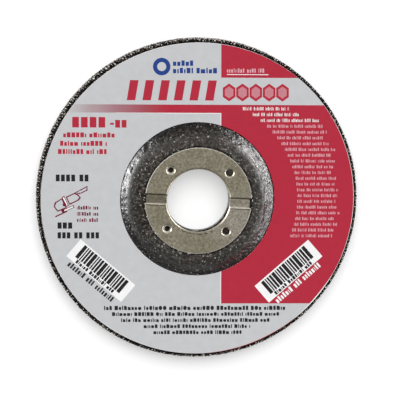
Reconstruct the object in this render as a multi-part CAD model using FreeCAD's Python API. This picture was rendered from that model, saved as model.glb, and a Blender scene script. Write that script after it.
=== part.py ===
import FreeCAD, Part
import math
import os

from FreeCAD import Vector

# Depressed-centre grinding wheel with a pressed steel centre ring and a paper label.
# Millimetres. The origin is on the bore's axis, in the plane of the working face. +Z points
# along the bore to the back of the wheel, where the hub stands proud and the label lies.

# Wheel
wheel_diameter = 114.3
wheel_thickness = 6.4
rim_bevel = 0.5

# Depressed centre: how far the hub is set back from the working face, and its wall
centre_depth = 4.6
hub_thickness = 6.4
flank_angle = 45.0
flank_wall = 4.4
hub_land_width = 1.5
shoulder_radius = 4.0
foot_bevel = 0.5
recess_floor_bevel = 0.8
recess_mouth_bevel = 0.8

# Steel centre ring
bore_diameter = 22.23
sheet_thickness = 0.6
flange_diameter = 38.0
flange_edge_gap = 0.15
flange_edge_bevel = 0.15
bend_inner_bevel = 0.4
collar_setback = 0.3
ring_pattern_turn = -3.6

# Pressed radial grooves across the flange
groove_count = 2
groove_width = 3.7
groove_depth = 0.5
groove_wall_angle = 35.0
groove_end_setback = 0.45

# Pierced barbs, punched through the flange into the abrasive
barb_count = 4
barb_circle_diameter = 29.6
barb_hole_diameter = 2.3
barb_mouth_bevel = 0.45
barb_length = 2.2
barb_wall = 0.35

# Paper label, and where its printed fields meet, measured from the bore's axis
label_thickness = 0.25
label_rim_margin = 1.25
label_edge_gap = 0.1
field_split_x = 8.5
field_band_top_y = 42.8
field_band_bottom_y = 33.2
field_stripe_bottom_y = 30.3
field_floor_y = -37.7

# Heights that several pieces share
hub_top_z = centre_depth + hub_thickness
flange_bottom_z = hub_top_z - sheet_thickness
collar_bottom_z = centre_depth + collar_setback
label_bottom_z = wheel_thickness - label_thickness

# Radii that several pieces share, worked outwards from the bore
bore_radius = bore_diameter / 2
collar_outer_radius = bore_radius + sheet_thickness
flange_radius = flange_diameter / 2
flange_seat_radius = flange_radius + flange_edge_gap
flank_slope = math.radians(flank_angle)
hub_rise = hub_top_z - wheel_thickness
shoulder_corner = (
    flange_seat_radius + hub_land_width + shoulder_radius * math.tan(flank_slope / 2)
)
foot_corner = shoulder_corner + hub_rise / math.tan(flank_slope)
hub_base_radius = foot_corner + foot_bevel
recess_mouth_corner = (
    foot_corner + wheel_thickness / math.tan(flank_slope) - flank_wall / math.sin(flank_slope)
)
recess_floor_corner = recess_mouth_corner - centre_depth / math.tan(flank_slope)
bend_outer_radius = bend_inner_bevel + sheet_thickness
wheel_radius = wheel_diameter / 2
label_inner_radius = hub_base_radius + label_edge_gap
label_outer_radius = wheel_radius - label_rim_margin

# Cutting shapes reach past the faces that they cut by this much
overshoot = 1.0

# Where a corner's cut ends on the next corner of its section, no line is drawn between them
shortest_line = 1e-6


def sharp(radius, height):
    """Section corner with nothing taken off."""
    return Vector(radius, 0, height), "sharp", 0


def rounded(radius, height, arc_radius):
    """Section corner with a tangent arc."""
    return Vector(radius, 0, height), "rounded", arc_radius


def bevelled(radius, height, leg):
    """Section corner cut straight across, a leg's length along each side."""
    return Vector(radius, 0, height), "bevelled", leg


def section_face(corners):
    """Face in the XZ plane through the corners, which run once round it."""
    count = len(corners)
    starts = []
    middles = []
    ends = []
    for index, (corner, kind, size) in enumerate(corners):
        towards_last = (corners[index - 1][0] - corner).normalize()
        towards_next = (corners[(index + 1) % count][0] - corner).normalize()
        half_angle = towards_last.getAngle(towards_next) / 2
        inwards = (towards_last + towards_next).normalize()
        leg = size / math.tan(half_angle) if kind == "rounded" else size
        starts.append(corner + towards_last * leg)
        middles.append(corner + inwards * (size / math.sin(half_angle) - size))
        ends.append(corner + towards_next * leg)
    edges = []
    for index, (_, kind, _) in enumerate(corners):
        if kind == "rounded":
            edges.append(Part.Arc(starts[index], middles[index], ends[index]).toShape())
        if kind == "bevelled":
            edges.append(Part.LineSegment(starts[index], ends[index]).toShape())
        line_end = starts[(index + 1) % count]
        if (line_end - ends[index]).Length > shortest_line:
            edges.append(Part.LineSegment(ends[index], line_end).toShape())
    return Part.Face(Part.Wire(edges))


def turned(corners):
    """Solid of revolution about the bore's axis from a section."""
    return section_face(corners).revolve(Vector(0, 0, 0), Vector(0, 0, 1), 360)


def around_bore(shape, count, first_angle):
    """Copies of a shape at even angles round the bore's axis."""
    copies = []
    for index in range(count):
        copy = shape.copy()
        angle = ring_pattern_turn + first_angle + index * 360 / count
        copy.rotate(Vector(0, 0, 0), Vector(0, 0, 1), angle)
        copies.append(copy)
    return copies


def groove_bar(half_width, depth):
    """Bar along +X with the groove's section, from the hub top down to a depth."""
    wall_run = depth * math.tan(math.radians(groove_wall_angle))
    lead_run = overshoot * math.tan(math.radians(groove_wall_angle))
    section = [
        Vector(0, -half_width - lead_run, hub_top_z + overshoot),
        Vector(0, -half_width + wall_run, hub_top_z - depth),
        Vector(0, half_width - wall_run, hub_top_z - depth),
        Vector(0, half_width + lead_run, hub_top_z + overshoot),
    ]
    outline = Part.makePolygon(section + section[:1])
    return Part.Face(outline).extrude(Vector(flange_seat_radius + overshoot, 0, 0))


def groove_hollows():
    """What the press pushes out of the flange's top."""
    return around_bore(groove_bar(groove_width / 2, groove_depth), groove_count, 0)


def groove_undersides():
    """The grooves' outer form, one sheet thickness outside their hollows."""
    wall_offset = sheet_thickness / math.cos(math.radians(groove_wall_angle))
    bar = groove_bar(groove_width / 2 + wall_offset, groove_depth + sheet_thickness)
    return around_bore(bar, groove_count, 0)


def barb_hollows():
    """Holes that the punch leaves, each with a drawn-in mouth."""
    throat = barb_hole_diameter / 2
    mouth = throat + barb_mouth_bevel
    hole = turned([
        sharp(0, hub_top_z - barb_length),
        sharp(throat, hub_top_z - barb_length),
        sharp(throat, hub_top_z - barb_mouth_bevel),
        sharp(mouth, hub_top_z),
        sharp(mouth, hub_top_z + overshoot),
        sharp(0, hub_top_z + overshoot),
    ])
    hole.translate(Vector(barb_circle_diameter / 2, 0, 0))
    return around_bore(hole, barb_count, 180 / barb_count)


def barb_outsides():
    """The barbs' outer form, from inside the flange down to their tips."""
    tip = Vector(barb_circle_diameter / 2, 0, hub_top_z - barb_length)
    height = barb_length - sheet_thickness / 2
    barb = Part.makeCylinder(barb_hole_diameter / 2 + barb_wall, height, tip)
    return around_bore(barb, barb_count, 180 / barb_count)


def abrasive_wheel():
    """Moulded wheel, with seats for the label and for everything on the ring."""
    wheel = turned([
        sharp(collar_outer_radius, centre_depth),
        bevelled(recess_floor_corner, centre_depth, recess_floor_bevel),
        bevelled(recess_mouth_corner, 0, recess_mouth_bevel),
        bevelled(wheel_radius, 0, rim_bevel),
        bevelled(wheel_radius, wheel_thickness, rim_bevel),
        sharp(label_outer_radius + label_edge_gap, wheel_thickness),
        sharp(label_outer_radius + label_edge_gap, label_bottom_z),
        sharp(hub_base_radius, label_bottom_z),
        sharp(hub_base_radius, wheel_thickness),
        bevelled(foot_corner, wheel_thickness, foot_bevel),
        rounded(shoulder_corner, hub_top_z, shoulder_radius),
        sharp(flange_seat_radius, hub_top_z),
        sharp(flange_seat_radius, flange_bottom_z),
        bevelled(collar_outer_radius, flange_bottom_z, bend_inner_bevel),
    ])
    seat_height = groove_depth + sheet_thickness + overshoot
    seat_bottom = Vector(0, 0, hub_top_z - groove_depth - sheet_thickness)
    seat = Part.makeCylinder(flange_seat_radius, seat_height, seat_bottom)
    channels = [underside.common(seat) for underside in groove_undersides()]
    return wheel.cut(channels + barb_outsides())


def pressed_flange_and_collar():
    """The ring before its grooves and barbs: flange, rounded bend and collar."""
    return turned([
        sharp(bore_radius, collar_bottom_z),
        sharp(collar_outer_radius, collar_bottom_z),
        bevelled(collar_outer_radius, flange_bottom_z, bend_inner_bevel),
        sharp(flange_radius, flange_bottom_z),
        bevelled(flange_radius, hub_top_z, flange_edge_bevel),
        rounded(bore_radius, hub_top_z, bend_outer_radius),
    ])


def groove_reach():
    """Where the grooves' sheet can be: from the bore to a little short of the edge."""
    groove_end = flange_radius - groove_end_setback
    return turned([
        sharp(bore_radius, collar_bottom_z),
        sharp(groove_end, collar_bottom_z),
        sharp(groove_end, hub_top_z),
        sharp(bore_radius, hub_top_z),
    ])


def centre_ring():
    """Pressed steel ring: grooves run across the flange, barbs point down from it."""
    undersides = groove_undersides()
    reach = groove_reach()
    ring = pressed_flange_and_collar().cut(undersides)
    ring = ring.fuse([underside.common(reach) for underside in undersides])
    ring = ring.fuse(barb_outsides())
    return ring.cut(groove_hollows() + barb_hollows()).removeSplitter()


def field_rectangle(x_from, x_to, y_from, y_to):
    """Flat rectangle in the plane of the label's printed face."""
    corners = [
        Vector(x_from, y_from, wheel_thickness),
        Vector(x_to, y_from, wheel_thickness),
        Vector(x_to, y_to, wheel_thickness),
        Vector(x_from, y_to, wheel_thickness),
    ]
    return Part.Face(Part.makePolygon(corners + corners[:1]))


def printed_fields():
    """The label's colour fields: a crown, a block with its stripe, and the ground."""
    edge = wheel_radius
    crown = field_rectangle(field_split_x, edge, field_band_top_y, edge)
    block = field_rectangle(field_split_x, edge, field_floor_y, field_band_bottom_y)
    stripe = field_rectangle(-edge, field_split_x, field_stripe_bottom_y, field_band_bottom_y)
    return [crown, block, stripe]


def paper_label():
    """Paper ring, its top face divided where the printed fields meet."""
    paper = turned([
        sharp(label_inner_radius, label_bottom_z),
        sharp(label_outer_radius, label_bottom_z),
        sharp(label_outer_radius, wheel_thickness),
        sharp(label_inner_radius, wheel_thickness),
    ])
    divided, _ = paper.generalFuse(printed_fields())
    return divided.Solids[0]


def main():
    os.makedirs("parts", exist_ok=True)
    pieces = {
        "abrasive_wheel": abrasive_wheel(),
        "centre_ring": centre_ring(),
        "paper_label": paper_label(),
    }
    for name, shape in pieces.items():
        solid = shape.Solids[0]
        solid.exportStep(f"parts/{name}.step")
        print(f"{name}: solids {len(shape.Solids)}, valid {solid.isValid()}, "
              f"volume {solid.Volume:.1f} mm3, faces {len(solid.Faces)}")


main()
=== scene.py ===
import bmesh
import bpy
import math
import numpy as np

from mathutils import Matrix, Vector, geometry


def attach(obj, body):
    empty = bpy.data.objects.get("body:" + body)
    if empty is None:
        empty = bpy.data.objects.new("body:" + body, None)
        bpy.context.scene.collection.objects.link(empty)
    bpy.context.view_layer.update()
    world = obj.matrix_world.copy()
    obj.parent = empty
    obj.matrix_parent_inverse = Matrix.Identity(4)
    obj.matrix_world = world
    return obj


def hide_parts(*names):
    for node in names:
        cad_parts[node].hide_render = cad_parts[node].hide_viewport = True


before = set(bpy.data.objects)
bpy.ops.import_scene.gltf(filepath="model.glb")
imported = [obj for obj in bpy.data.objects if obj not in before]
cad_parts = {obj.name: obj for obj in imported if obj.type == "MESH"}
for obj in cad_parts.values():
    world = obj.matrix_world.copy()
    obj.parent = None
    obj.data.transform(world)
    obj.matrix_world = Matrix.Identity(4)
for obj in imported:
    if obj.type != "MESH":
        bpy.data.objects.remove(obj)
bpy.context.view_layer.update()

# Lengths are in millimetres here, as in part.py, and become metres when a mesh is made.
MM = 0.001
whole_turn = 2 * math.pi

# Wheel, as in part.py
wheel_radius = 57.15
wheel_thickness = 6.4
rim_bevel = 0.5
centre_depth = 4.6
hub_top_z = 11.0
hub_land_width = 1.5
flank_slope = math.radians(45.0)
flank_wall = 4.4
shoulder_radius = 4.0
foot_bevel = 0.5
recess_floor_bevel = 0.8
recess_mouth_bevel = 0.8

# Ring, as in part.py
bore_radius = 11.115
sheet_thickness = 0.6
flange_radius = 19.0
flange_seat_radius = 19.15
flange_bottom_z = hub_top_z - sheet_thickness
collar_outer_radius = bore_radius + sheet_thickness
collar_bottom_z = centre_depth + 0.3
bend_outer_radius = 1.0
bend_inner_bevel = 0.4
ring_pattern_turn = math.radians(-3.6)
groove_half_width = 1.85
groove_depth = 0.5
groove_wall_run = 0.35
groove_end_setback = 0.45
barb_count = 4
barb_circle_radius = 14.8
barb_outer_radius = 1.5
barb_length = 2.2

# Label, as in part.py
label_thickness = 0.25
label_outer_radius = 55.9
label_edge_gap = 0.1
label_bottom_z = wheel_thickness - label_thickness
field_split_x = 8.5
field_band_top_y = 42.8
field_band_bottom_y = 33.2
field_stripe_bottom_y = 30.3
field_floor_y = -37.7

# The label is cut a little small and glued a little to the right
paper_trim = 0.1
paper_shift = 0.19
paper_radius = label_outer_radius - paper_trim

# Corners of the wheel's section
shoulder_corner = (
    flange_seat_radius + hub_land_width + shoulder_radius * math.tan(flank_slope / 2)
)
foot_corner = shoulder_corner + (hub_top_z - wheel_thickness) / math.tan(flank_slope)
hub_base_radius = foot_corner + foot_bevel
recess_mouth_corner = (
    foot_corner + wheel_thickness / math.tan(flank_slope) - flank_wall / math.sin(flank_slope)
)
recess_floor_corner = recess_mouth_corner - centre_depth / math.tan(flank_slope)
label_inner_radius = hub_base_radius + label_edge_gap

# Sizes of the wheel's triangles, by how closely each face is seen
hub_spacing = 0.3
rim_spacing = 0.42
recess_spacing = 0.5
underside_spacing = 0.58
under_flange_spacing = 0.5
under_label_spacing = 1.6
fewest_round_axis = 24

# Grain size, and how deep the gaps between grains are on each face
grit_size = 0.75
rim_gap_depth = 0.45
underside_gap_depth = 0.4
hub_gap_depth = 0.18
cloth_pitch = 3.6
cloth_depth = 0.12

# Stones on each face: their spacing, its jitter, and their smallest and largest size
wall_stones = (0.74, 0.34, 0.45, 1.05)
margin_stones = (0.56, 0.32, 0.34, 0.8)
seat_stones = (0.36, 0.3, 0.24, 0.42)
face_stones = (0.95, 0.35, 0.5, 1.0)
skin_stones = (0.8, 0.4, 0.18, 0.4)
stone_kinds = 12

# Where the working face's stones end and the rim's begin
face_stones_end = wheel_radius - rim_bevel - 1.2


# Noise

# Cells along each side of a noise's table, and how far each seed moves its pattern
lattice_side = 48
seed_shift = 0.37


def lattice_noise(points, size, seed):
    """Smooth noise from -1 to 1, with features of the given size."""
    table = np.random.default_rng(seed).uniform(-1, 1, (lattice_side,) * 3)
    scaled = points / size + seed * seed_shift
    base = np.floor(scaled).astype(int)
    part = scaled - base
    part = part * part * (3 - 2 * part)
    total = np.zeros(len(points))
    for corner in np.ndindex(2, 2, 2):
        weight = np.ones(len(points))
        for axis in range(3):
            weight *= part[:, axis] if corner[axis] else 1 - part[:, axis]
        x, y, z = ((base + corner) % lattice_side).T
        total += weight * table[x, y, z]
    return total


def cell_noise(points, size, seed):
    """Distance to the nearest cell's middle, in cell sizes, and that cell's own number."""
    random = np.random.default_rng(seed)
    middles = random.uniform(0, 1, (lattice_side,) * 3 + (3,))
    numbers = random.uniform(0, 1, (lattice_side,) * 3)
    scaled = points / size + seed * seed_shift
    base = np.floor(scaled).astype(int)
    nearest = np.full(len(points), np.inf)
    number = np.zeros(len(points))
    for step in np.ndindex(3, 3, 3):
        cell = base + step - 1
        x, y, z = (cell % lattice_side).T
        distance = np.linalg.norm(cell + middles[x, y, z] - scaled, axis=1)
        closer = distance < nearest
        nearest[closer] = distance[closer]
        number[closer] = numbers[x, y, z][closer]
    return nearest, number


# Meshes


def make_piece(name, vertices, faces, materials, face_slots=None):
    """Piece from vertices in millimetres, riding on the one body."""
    mesh = bpy.data.meshes.new(name)
    mesh.from_pydata((np.asarray(vertices) * MM).tolist(), [], faces)
    for material in materials:
        mesh.materials.append(material)
    if face_slots is not None:
        mesh.polygons.foreach_set("material_index", face_slots)
    mesh.update()
    piece = bpy.data.objects.new(name, mesh)
    bpy.context.scene.collection.objects.link(piece)
    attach(piece, "root")
    return piece


def keep_values(piece, name, values):
    """Stores a number at each vertex, which the piece's material reads by its name."""
    attribute = piece.data.attributes.new(name, "FLOAT", "POINT")
    attribute.data.foreach_set("value", values.astype(np.float32))


def around_axis(radius, height, angles):
    """Points, or the directions of normals, at angles round the bore's axis."""
    return np.c_[radius * np.cos(angles), radius * np.sin(angles), np.full(len(angles), height)]


def stitched(loop_a, loop_b, whole):
    """Triangles between two loops of (angle, index), where a whole turn has the given measure."""
    faces = []
    i = 0
    j = 0
    while i < len(loop_a) or j < len(loop_b):
        angle_a, next_a = loop_a[(i + 1) % len(loop_a)]
        angle_b, next_b = loop_b[(j + 1) % len(loop_b)]
        if i + 1 == len(loop_a):
            angle_a += whole
        if j + 1 == len(loop_b):
            angle_b += whole
        a = loop_a[i % len(loop_a)][1]
        b = loop_b[j % len(loop_b)][1]
        if j == len(loop_b) or (i < len(loop_a) and angle_a <= angle_b):
            faces.append((a, next_a, b))
            i += 1
        else:
            faces.append((a, next_b, b))
            j += 1
    return faces


# Wheel


def shoulder_arc():
    """Points of the hub's rounded shoulder, from the flank up to the land."""
    start_radius = flange_seat_radius + hub_land_width
    centre_z = hub_top_z - shoulder_radius
    steps = 12
    points = []
    for index in range(steps + 1):
        angle = flank_slope * (1 - index / steps)
        radius = start_radius + shoulder_radius * math.sin(angle)
        points.append((radius, centre_z + shoulder_radius * math.cos(angle)))
    return points


def foot_sweep():
    """Points of the flank, from the foot up to the shoulder, hollowed a little at the foot."""
    top_radius, top_z = shoulder_arc()[0]
    run = hub_base_radius - top_radius
    rise = top_z - wheel_thickness
    steepest = 1.0
    easing = 2 * (steepest - rise / run)
    steps = 14
    points = []
    for index in range(steps):
        t = 1 - index / steps
        points.append((top_radius + run * t, top_z - run * (steepest * t - easing / 2 * t * t)))
    return points


def wheel_bands():
    """The wheel's section, once round it: each band's finish, spacing and corners."""
    mouth_end = (recess_mouth_corner + recess_mouth_bevel, 0)
    rim_start = (wheel_radius - rim_bevel, 0)
    seat_start = (label_outer_radius + label_edge_gap, wheel_thickness)
    land_end = (flange_seat_radius, hub_top_z)
    return [
        ("recess", recess_spacing, [
            (collar_outer_radius, centre_depth),
            (recess_floor_corner - recess_floor_bevel, centre_depth),
            (recess_floor_corner + recess_floor_bevel * math.cos(flank_slope),
             centre_depth - recess_floor_bevel * math.sin(flank_slope)),
            (recess_mouth_corner - recess_mouth_bevel * math.cos(flank_slope),
             recess_mouth_bevel * math.sin(flank_slope)),
            mouth_end,
        ]),
        ("underside", underside_spacing, [mouth_end, rim_start]),
        ("rim", rim_spacing, [
            rim_start,
            (wheel_radius, rim_bevel),
            (wheel_radius, wheel_thickness - rim_bevel),
            (wheel_radius - rim_bevel, wheel_thickness),
            seat_start,
        ]),
        ("seat", under_label_spacing, [
            seat_start,
            (label_outer_radius + label_edge_gap, label_bottom_z),
            (hub_base_radius, label_bottom_z),
            (hub_base_radius, wheel_thickness),
        ]),
        ("hub", hub_spacing, [*foot_sweep(), *shoulder_arc(), land_end]),
        ("under_flange", under_flange_spacing, [
            land_end,
            (flange_seat_radius, flange_bottom_z),
            (collar_outer_radius, flange_bottom_z),
            (collar_outer_radius, centre_depth),
        ]),
    ]


def band_samples(corners, spacing):
    """Points along a band with their outward normals, its last corner left to the next band."""
    row_share = 0.87
    samples = []
    for (r0, z0), (r1, z1) in zip(corners, corners[1:]):
        length = math.hypot(r1 - r0, z1 - z0)
        count = max(1, round(length / (spacing * row_share)))
        normal = ((z1 - z0) / length, (r0 - r1) / length)
        for index in range(count):
            t = index / count
            samples.append((r0 + (r1 - r0) * t, z0 + (z1 - z0) * t, *normal))
    return samples


def wheel_rings():
    """Every ring of the wheel's mesh: finish, radius, height, normal and point count."""
    rings = []
    for finish, spacing, corners in wheel_bands():
        for sample in band_samples(corners, spacing):
            count = max(fewest_round_axis, round(whole_turn * sample[0] / spacing))
            rings.append((finish, *sample, count))
    return rings


def grit_depth(points, seed):
    """How far below the grains' tips each point lies, from 0 to 1."""
    distance, number = cell_noise(points, grit_size, seed)
    fine = lattice_noise(points, grit_size * 0.45, seed + 1)
    return np.clip(0.15 + 0.55 * distance + 0.35 * (number - 0.4) + 0.16 * fine, 0, 1)


def cloth_press(points):
    """Shallow dents that the glass cloth leaves, crossing in two directions."""
    dent_from = 0.55
    dents = np.zeros(len(points))
    for axis in range(2):
        wave = np.cos(whole_turn * points[:, axis] / cloth_pitch)
        dents = np.maximum(dents, np.clip(wave - dent_from, 0, 1) / 0.45)
    return dents * cloth_depth


def hub_depth(points):
    """Resin skin over grain: soft lumps, a fine leathery surface, a foot line and a chipped edge."""
    lumps = np.abs(lattice_noise(points, 2.6, 21))
    ridges = np.abs(lattice_noise(points, 1.2, 25))
    fine = lattice_noise(points, 0.42, 22)
    distance, _ = cell_noise(points, 0.7, 23)
    skin = np.clip(0.8 * lumps + 0.3 * ridges + 0.08 * fine + 0.1 * distance, 0, 1.4)
    radius = np.hypot(points[:, 0], points[:, 1])
    fade = 0.3
    crevice = np.clip((radius - hub_base_radius + fade) / fade, 0, 1)
    chip_reach = 0.42
    broken = np.clip(lattice_noise(points, 1.6, 24) + 0.5, 0, 1)
    chipped = np.clip((flange_seat_radius + chip_reach - radius) / fade, 0, 1) * broken
    return skin + 0.5 * crevice + 4.5 * chipped


def under_flange_drop(points):
    """Room under the flange for its barbs and grooves."""
    play = 0.1
    drop = np.zeros(len(points))
    level = points[:, 2] > flange_bottom_z - play
    inside = from_barbs(points[:, 0], points[:, 1]) < barb_outer_radius + 3 * play
    drop[inside & level] = barb_length - sheet_thickness + 2 * play
    channel = across_grooves(points[:, 0], points[:, 1]) < groove_half_width + sheet_thickness
    top = hub_top_z - groove_depth - sheet_thickness - play
    in_channel = channel & level & (points[:, 2] > top)
    drop[in_channel] = np.maximum(drop[in_channel], points[in_channel, 2] - top)
    return drop


def wheel_mesh():
    """Vertices, triangles and material slots of the wheel."""
    random = np.random.default_rng(5)
    rings = wheel_rings()
    first = 0
    loops = []
    points = []
    normals = []
    finishes = []
    for finish, radius, height, normal_r, normal_z, count in rings:
        turn = random.uniform(0, 1) / count
        loops.append([(index / count + turn, first + index) for index in range(count)])
        angles = whole_turn * (np.arange(count) / count + turn)
        points.append(around_axis(radius, height, angles))
        normals.append(around_axis(normal_r, normal_z, angles))
        finishes += [finish] * count
        first += count
    points = np.concatenate(points)
    normals = np.concatenate(normals)
    finishes = np.array(finishes)
    depth = np.zeros(len(points))
    for finish, gap, seed in (("rim", rim_gap_depth, 7), ("underside", underside_gap_depth, 9),
                              ("recess", underside_gap_depth, 11)):
        chosen = finishes == finish
        depth[chosen] = gap * grit_depth(points[chosen], seed)
    chosen = finishes == "underside"
    depth[chosen] += cloth_press(points[chosen])
    chosen = finishes == "hub"
    depth[chosen] = hub_gap_depth * hub_depth(points[chosen])
    chosen = finishes == "under_flange"
    depth[chosen] = under_flange_drop(points[chosen])
    faces = []
    slots = []
    for index, loop in enumerate(loops):
        made = stitched(loop, loops[(index + 1) % len(loops)], 1)
        faces += made
        slots += [1 if rings[index][0] in ("hub", "under_flange") else 0] * len(made)
    return points - normals * depth[:, None], faces, slots


# Stones


def stone_shapes(random, corners):
    """Angular closed stones about one unit across, as (vertices, triangles)."""
    most_lopsided = 0.2
    shapes = []
    while len(shapes) < stone_kinds:
        work = bmesh.new()
        for corner in random.normal(size=(corners, 3)):
            stretch = random.uniform(0.75, 1.1)
            work.verts.new(corner / np.linalg.norm(corner) * 0.5 * stretch)
        hull = bmesh.ops.convex_hull(work, input=work.verts)
        bmesh.ops.delete(work, geom=hull["geom_unused"], context="VERTS")
        bmesh.ops.triangulate(work, faces=work.faces)
        bmesh.ops.recalc_face_normals(work, faces=work.faces)
        work.verts.index_update()
        vertices = np.array([vertex.co for vertex in work.verts])
        triangles = np.array([[vertex.index for vertex in face.verts] for face in work.faces])
        if np.abs(vertices.mean(axis=0)).max() < most_lopsided:
            shapes.append((vertices, triangles))
        work.free()
    return shapes


def turns(random, count):
    """Random rotation matrices."""
    w, x, y, z = random.normal(size=(count, 4)).T
    length = np.sqrt(w * w + x * x + y * y + z * z)
    w, x, y, z = w / length, x / length, y / length, z / length
    return np.stack([
        np.stack([1 - 2 * (y * y + z * z), 2 * (x * y - z * w), 2 * (x * z + y * w)], -1),
        np.stack([2 * (x * y + z * w), 1 - 2 * (x * x + z * z), 2 * (y * z - x * w)], -1),
        np.stack([2 * (x * z - y * w), 2 * (y * z + x * w), 1 - 2 * (x * x + y * y)], -1),
    ], -2)


def scattered(random, shapes, centres, sizes, tones):
    """Stones at the centres, each turned its own way: vertices, triangles and tones."""
    kinds = random.integers(0, len(shapes), len(centres))
    rotations = turns(random, len(centres))
    vertices = []
    triangles = []
    vertex_tones = []
    first = 0
    for kind, (shape, shape_triangles) in enumerate(shapes):
        chosen = np.flatnonzero(kinds == kind)
        turned = np.einsum("nij,kj->nki", rotations[chosen], shape)
        turned = turned * sizes[chosen, None, None] + centres[chosen, None, :]
        vertices.append(turned.reshape(-1, 3))
        offsets = first + np.arange(len(chosen)) * len(shape)
        triangles.append((shape_triangles[None] + offsets[:, None, None]).reshape(-1, 3))
        vertex_tones.append(np.repeat(tones[chosen], len(shape)))
        first += len(chosen) * len(shape)
    return np.concatenate(vertices), np.concatenate(triangles), np.concatenate(vertex_tones)


def path_places(random, corners, spacing, jitter):
    """Points spread over the surface that a section's path sweeps, with normals."""
    places = []
    normals = []
    for radius, height, normal_r, normal_z in band_samples(corners, spacing):
        count = round(whole_turn * radius / spacing)
        angles = whole_turn * (np.arange(count) + random.uniform(-jitter, jitter, count)) / count
        angles += random.uniform(0, whole_turn)
        along = random.uniform(-jitter, jitter, count) * spacing
        places.append(around_axis(radius - normal_z * along, height + normal_r * along, angles))
        normals.append(around_axis(normal_r, normal_z, angles))
    return np.concatenate(places), np.concatenate(normals)


def within_wheel(points, top):
    """Points pulled back to the wheel's rim, its working face and a top height."""
    radius = np.hypot(points[:, 0], points[:, 1])
    pull = np.minimum(1, wheel_radius / radius)
    points = points * np.c_[pull, pull, np.ones(len(points))]
    points[:, 2] = np.clip(points[:, 2], 0, top)
    return points


def stones_piece(name, random, shapes, places, normals, sizes, sunk, top, material, palest=1.0):
    """One piece of stones, dark and pale by turns, each sunk by a share of its size."""
    dark_stands_out = 0.16
    tones = (np.arange(len(places)) % 2 + random.uniform(0, 1, len(places))) / 2 * palest
    depth = sizes * (sunk + dark_stands_out * (0.5 - tones))
    vertices, triangles, tones = scattered(random, shapes, places - normals * depth[:, None],
                                           sizes, tones)
    vertices = within_wheel(vertices, top)
    piece = make_piece(name, vertices, triangles.tolist(), [material])
    keep_values(piece, "tone", tones)


def rim_stones(material):
    """Coarse grain round the rim and on the bare margin, and fine grain at the label's edge."""
    random = np.random.default_rng(31)
    shapes = stone_shapes(random, 9)
    wall_top = (wheel_radius, wheel_thickness - rim_bevel)
    just_in = 0.02
    seat_depth = 0.12
    rows = (
        (wall_stones, [
            (face_stones_end, just_in),
            (wheel_radius - rim_bevel, just_in),
            (wheel_radius, rim_bevel),
            wall_top,
        ]),
        (margin_stones, [
            wall_top,
            (wheel_radius - rim_bevel, wheel_thickness),
            (label_outer_radius + label_edge_gap, wheel_thickness),
        ]),
        (seat_stones, [
            (label_outer_radius - 0.02, wheel_thickness - seat_depth),
            (label_outer_radius - 0.14, wheel_thickness - seat_depth),
        ]),
    )
    places = []
    normals = []
    for (spacing, jitter, _, _), corners in rows:
        row_places, row_normals = path_places(random, corners, spacing, jitter)
        places.append(row_places)
        normals.append(row_normals)
    bare_left_of = -0.4 * label_outer_radius
    bare = places[-1][:, 0] < bare_left_of
    places[-1] = places[-1][bare]
    normals[-1] = normals[-1][bare]
    sizes = np.concatenate([random.uniform(*row[2:], len(row_places))
                            for (row, _), row_places in zip(rows, places)])
    stones_piece("rim_grain", random, shapes, np.concatenate(places), np.concatenate(normals),
                 sizes, sunk=0.42, top=wheel_thickness + just_in, material=material)


def underside_stones(material):
    """Coarse grain on the working face and up the recess's wall."""
    random = np.random.default_rng(32)
    shapes = stone_shapes(random, 7)
    spacing, jitter, smallest, largest = face_stones
    just_in = 0.05
    places, normals = path_places(random, [
        (recess_floor_corner, centre_depth - 0.5),
        (recess_mouth_corner, just_in),
        (face_stones_end, just_in),
    ], spacing, jitter)
    sizes = random.uniform(smallest, largest, len(places))
    stones_piece("face_grain", random, shapes, places, normals, sizes, sunk=0.4,
                 top=hub_top_z, material=material)


def hub_stones(material):
    """Small grains that break through the resin skin of the hub."""
    random = np.random.default_rng(33)
    shapes = stone_shapes(random, 7)
    spacing, jitter, smallest, largest = skin_stones
    kept_share = 0.12
    places, normals = path_places(random, [
        (hub_base_radius - 0.4, wheel_thickness + 0.25),
        *shoulder_arc(),
        (flange_seat_radius + 0.2, hub_top_z),
    ], spacing, jitter)
    kept = random.uniform(0, 1, len(places)) < kept_share
    places = places[kept]
    sizes = random.uniform(smallest, largest, len(places))
    stones_piece("hub_grain", random, shapes, places, normals[kept], sizes, sunk=0.35,
                 top=hub_top_z, material=material, palest=0.84)


def angles_along(random, stretches):
    """Random angles in stretches of (from, to, count), in degrees."""
    return np.concatenate([np.radians(random.uniform(low, high, count))
                           for low, high, count in stretches])


def edge_crumbs(material):
    """Crumbs of grain and resin at the flange's edge and the bore, as in the photograph."""
    random = np.random.default_rng(34)
    shapes = stone_shapes(random, 8)
    outside = angles_along(random, (
        (92, 118, 26), (196, 262, 90), (-18, 12, 30), (166, 190, 24), (20, 80, 22),
        (270, 340, 26), (120, 160, 14),
    ))
    inside = angles_along(random, ((-12, 10, 16), (168, 188, 14), (252, 300, 8)))
    outer_radii = np.clip(flange_radius + random.normal(0.18, 0.16, len(outside)),
                          flange_radius - 0.1, flange_radius + 0.7)
    inner_radii = bore_radius + random.uniform(0.1, 0.5, len(inside))
    heights = np.r_[np.full(len(outside), hub_top_z - 0.05), ring_top_near_bore(inner_radii)]
    sizes = np.concatenate([
        random.uniform(0.2, 0.52, len(outside)), random.uniform(0.16, 0.34, len(inside)),
    ])
    places = around_axis(np.r_[outer_radii, inner_radii], heights, np.r_[outside, inside])
    normals = np.tile((0.0, 0.0, 1.0), (len(places), 1))
    stones_piece("edge_grain", random, shapes, places, normals, sizes, sunk=0.25,
                 top=hub_top_z, material=material)


# Flat shapes


def circle(radius, count):
    """Corners of a circle about the bore's axis."""
    angles = [whole_turn * index / count for index in range(count)]
    return [(radius * math.cos(angle), radius * math.sin(angle)) for angle in angles]


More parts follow.
